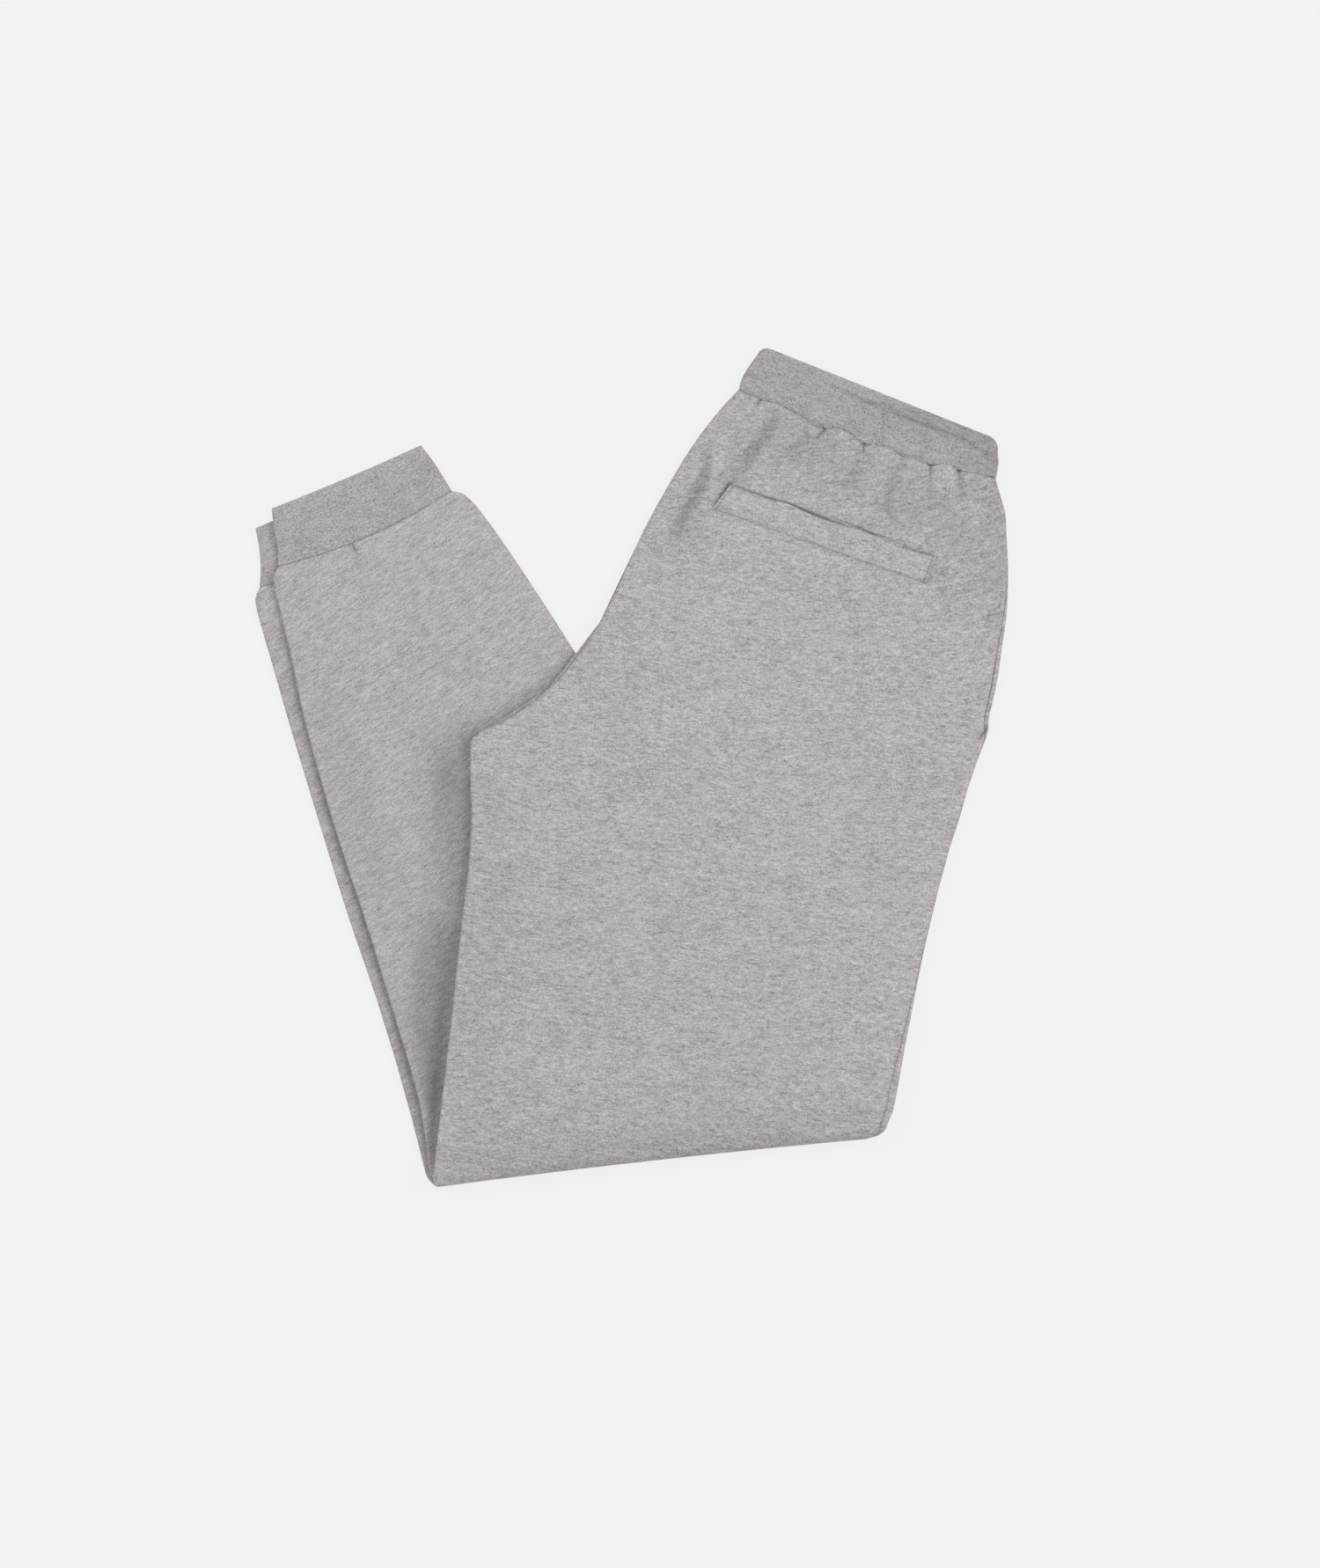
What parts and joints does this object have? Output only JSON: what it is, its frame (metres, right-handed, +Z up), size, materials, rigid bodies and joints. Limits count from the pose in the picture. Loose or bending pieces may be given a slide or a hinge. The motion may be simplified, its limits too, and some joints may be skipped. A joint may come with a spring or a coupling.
{
  "type": "jogger sweatpants, folded",
  "caption": "Folded sweat-cloth joggers with gathered waistband, ribbed ankle cuffs and a back welt pocket, lying flat as a garment on a shelf or table.",
  "frame": {"origin": "on the surface it rests on, at the middle of the folded garment's footprint", "axes": "+Z up from the surface; +Y from the knee fold towards the waistband; +X towards the side seam"},
  "size_m": [0.512, 0.5695, 0.0181],
  "materials": {
    "sweat_cloth": "heather grey brushed sweat jersey",
    "rib_cloth": "heather grey elasticated rib"
  },
  "bodies": {
    "root": {"right_back_panel": "sweat_cloth", "right_front_panel": "sweat_cloth", "left_front_panel": "sweat_cloth", "left_back_panel": "sweat_cloth", "waistband": "rib_cloth", "left_cuff": "rib_cloth", "right_cuff": "rib_cloth", "back_pocket_welt": "sweat_cloth"}
  },
  "joints": []
}
